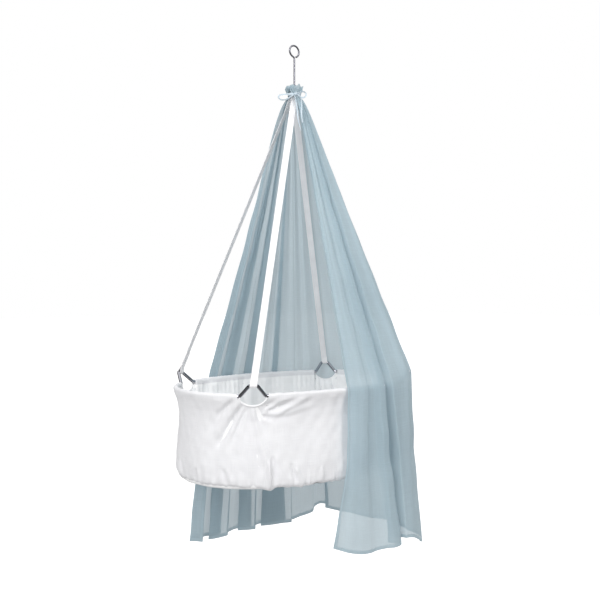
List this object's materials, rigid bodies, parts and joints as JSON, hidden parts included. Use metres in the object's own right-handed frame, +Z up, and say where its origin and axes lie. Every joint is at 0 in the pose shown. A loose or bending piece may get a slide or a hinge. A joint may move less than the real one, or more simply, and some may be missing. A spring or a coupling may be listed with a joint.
{
  "type": "hanging baby cradle",
  "caption": "Hanging cradle: oval steel rim on straps from one ceiling eye, a soft bag with board and mattress, and a draped canopy tied at the top.",
  "frame": {"origin": "centre of the hang eye at the top of the hanger rod", "axes": "+Z up through the hanger rod, +X along the cradle towards the canopy's covered end, +Y towards the far side"},
  "size_m": [0.9283, 0.5837, 1.788],
  "materials": {
    "bright_steel": "satin",
    "chrome": "polished",
    "webbing": "matte",
    "plywood": "satin",
    "foam": "matte",
    "cotton_cover": "matte",
    "voile": "matte",
    "touch_tape": "matte",
    "cotton": "matte",
    "binding": "matte",
    "lining": "matte",
    "tape": "matte"
  },
  "bodies": {
    "hanger": {"hanger_rod": "bright_steel"},
    "link": {"strap_link": "bright_steel"},
    "cradle": {"strap_inner": "webbing", "strap_outer": "webbing", "rim_frame": "chrome", "rim_casing_near": "cotton", "rim_casing_far": "cotton", "rim_casing_left": "cotton", "rim_casing_right": "cotton", "cut_binding_left_near": "binding", "cut_binding_left_far": "binding", "cut_binding_right_near": "binding", "cut_binding_right_far": "binding", "outer_wall": "cotton", "bottom_panel": "cotton", "lining": "lining", "casing_closures": "touch_tape", "canopy": "voile", "tie_wrap": "tape", "tie_knot": "tape", "bow_loop_left": "tape", "bow_loop_right": "tape", "tie_tail_left": "tape", "tie_tail_right": "tape"},
    "base": {"base_board": "plywood"},
    "mattress": {"mattress_core": "foam", "mattress_cover": "cotton_cover"}
  },
  "joints": [
    {"name": "swing_end", "type": "hinge", "parent": "hanger", "child": "link", "pos_m": [0, 0, -0.1365], "axis": [0, 1, 0], "range_deg": [-10, 10]},
    {"name": "swing_side", "type": "hinge", "parent": "link", "child": "cradle", "pos_m": [0, 0, -0.149], "axis": [1, 0, 0], "range_deg": [-10, 10]},
    {"name": "board_lift", "type": "slide", "parent": "cradle", "child": "base", "axis": [0, 0, 1], "range_m": [0, 0.1]},
    {"name": "mattress_lift", "type": "slide", "parent": "base", "child": "mattress", "axis": [0, 0, 1], "range_m": [0, 0.15]}
  ]
}
